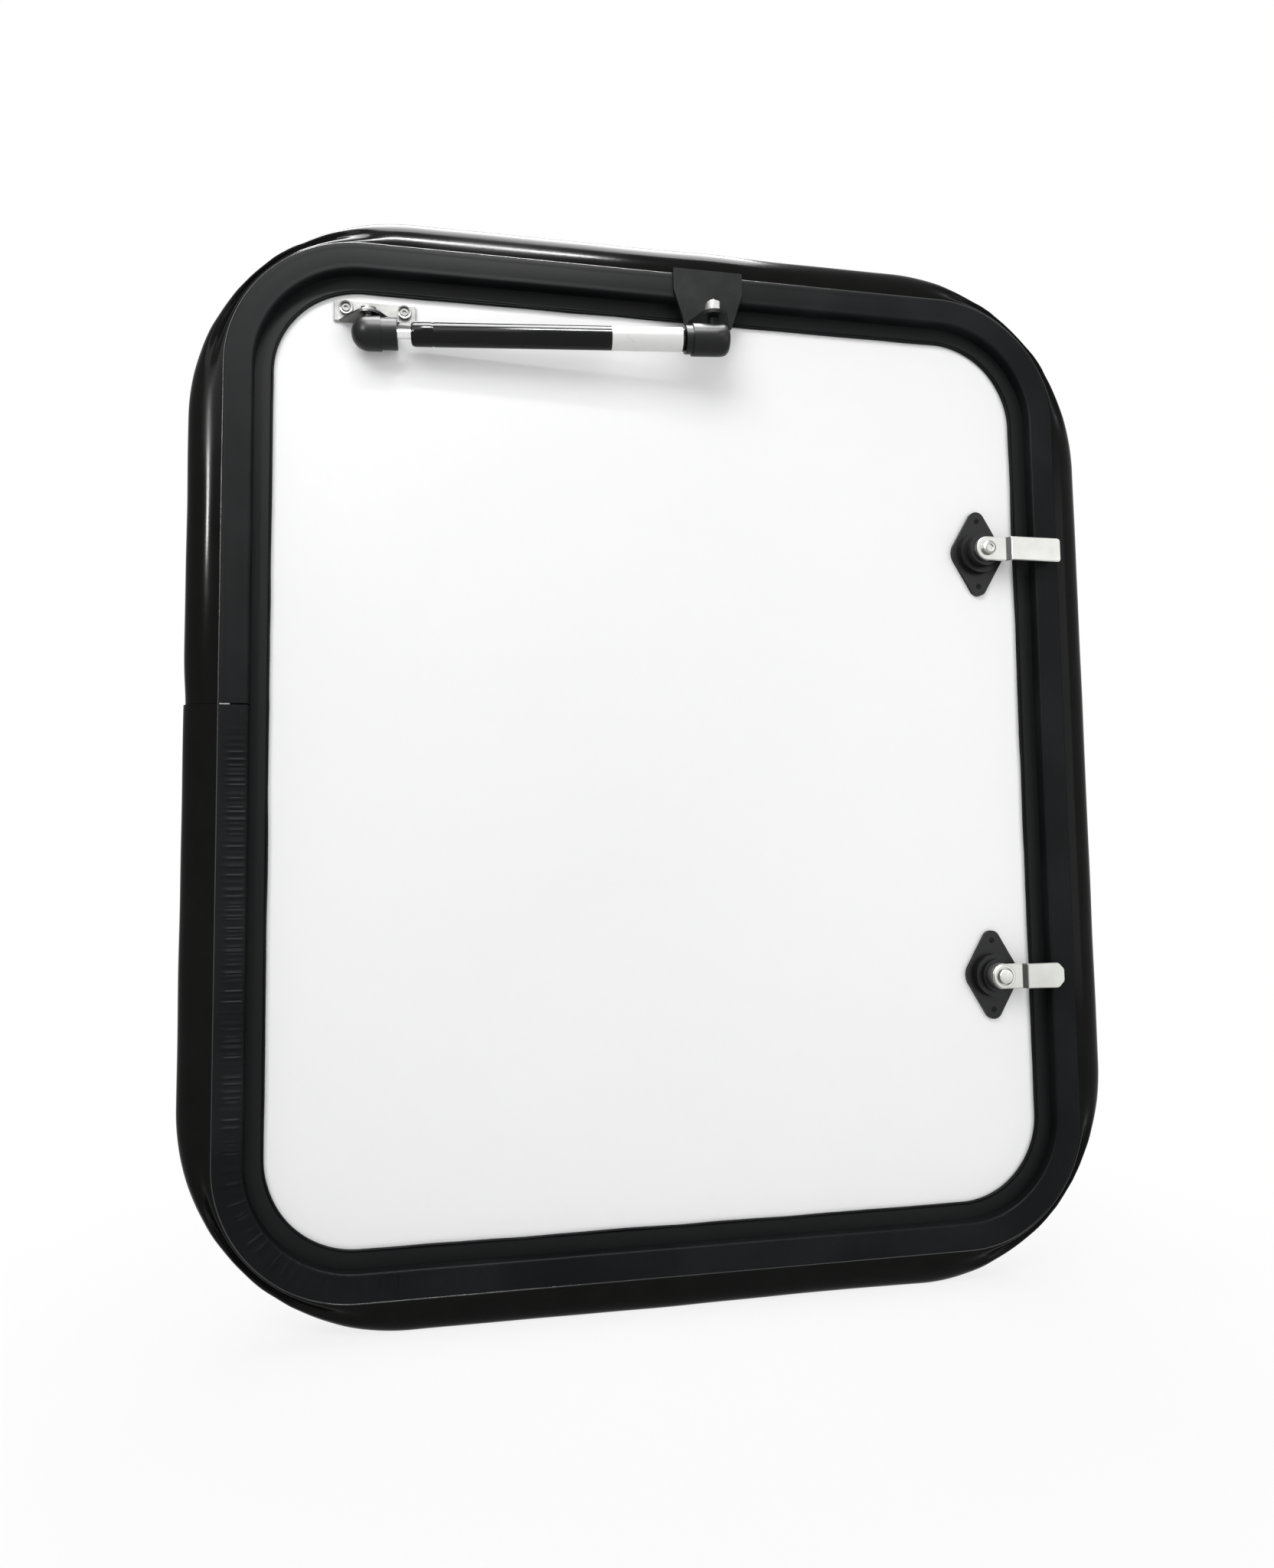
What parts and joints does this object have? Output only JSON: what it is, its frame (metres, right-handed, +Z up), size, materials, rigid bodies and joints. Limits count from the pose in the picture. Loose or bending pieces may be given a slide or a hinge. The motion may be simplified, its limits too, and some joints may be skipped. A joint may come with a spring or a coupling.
{
  "type": "rv hatch door",
  "caption": "White caravan service hatch with a rounded black rubber-trimmed frame, two cam latches and a gas strut along the top.",
  "frame": {"origin": "on the exterior flange's back face, at the middle of the bottom rail", "axes": "+X to the right seen from inside the vehicle, +Y out of the vehicle, +Z up"},
  "size_m": [0.6056, 0.0743, 0.6956],
  "materials": {
    "black_aluminium": "satin",
    "matt_rubber": "matte",
    "soft_rubber": "satin",
    "black_steel": "satin",
    "zinc_steel": "satin",
    "chrome_steel": "gloss",
    "nickel_zinc": "satin",
    "hinge_aluminium": "satin",
    "white_skin": "gloss",
    "foam_core": "matte",
    "black_plastic": "satin"
  },
  "bodies": {
    "frame": {"jamb_frame": "black_aluminium", "edge_trim": "matt_rubber", "bulb_seal": "soft_rubber", "stop_seal": "matt_rubber", "frame_strut_bracket": "black_steel", "frame_stud_nut": "zinc_steel", "hinge_frame_leaf": "hinge_aluminium", "hinge_pin": "zinc_steel"},
    "door": {"door_outer_skin": "white_skin", "door_core": "foam_core", "door_inner_skin": "white_skin", "door_rim": "black_aluminium", "hinge_door_leaf": "hinge_aluminium", "door_strut_bracket": "zinc_steel", "door_ball_stud": "zinc_steel", "upper_latch_body": "black_plastic", "lower_latch_body": "black_plastic", "upper_lock_bezel": "black_plastic", "lower_lock_bezel": "black_plastic"},
    "upper_cam_body": {"upper_lock_spindle": "nickel_zinc", "upper_cam": "zinc_steel"},
    "lower_cam_body": {"lower_lock_spindle": "nickel_zinc", "lower_cam": "zinc_steel"},
    "strut_rod": {"rod_end_socket": "black_plastic", "piston_rod": "chrome_steel"},
    "strut_cylinder": {"strut_tube": "black_steel", "tube_end_socket": "black_plastic", "frame_ball_stud": "zinc_steel"}
  },
  "joints": [
    {"name": "door_swing", "type": "hinge", "parent": "frame", "child": "door", "pos_m": [-0.268, 0.0065, 0.3351], "axis": [0, 0, 1], "range_deg": [0, 90]},
    {"name": "upper_cam_turn", "type": "hinge", "parent": "door", "child": "upper_cam_body", "pos_m": [0.2245, -0.0275, 0.4821], "axis": [0, -1, 0], "range_deg": [0, 90]},
    {"name": "lower_cam_turn", "type": "hinge", "parent": "door", "child": "lower_cam_body", "pos_m": [0.2245, -0.0275, 0.1881], "axis": [0, 1, 0], "range_deg": [0, 90]},
    {"name": "rod_swivel", "type": "hinge", "parent": "door", "child": "strut_rod", "pos_m": [-0.1945, -0.04, 0.6016], "axis": [-0.0042, -0.0023, 1], "range_deg": [-115.22, 0.5]},
    {"name": "strut_slide", "type": "slide", "parent": "strut_rod", "child": "strut_cylinder", "axis": [0.9974, -0.0607, 0.0377], "range_m": [-0.001, 0.06109]}
  ],
  "couplings": [
    {"joint": "rod_swivel", "follows": "door_swing", "ratio": -1.2746},
    {"joint": "strut_slide", "follows": "door_swing", "m_per_rad": 0.038252}
  ]
}
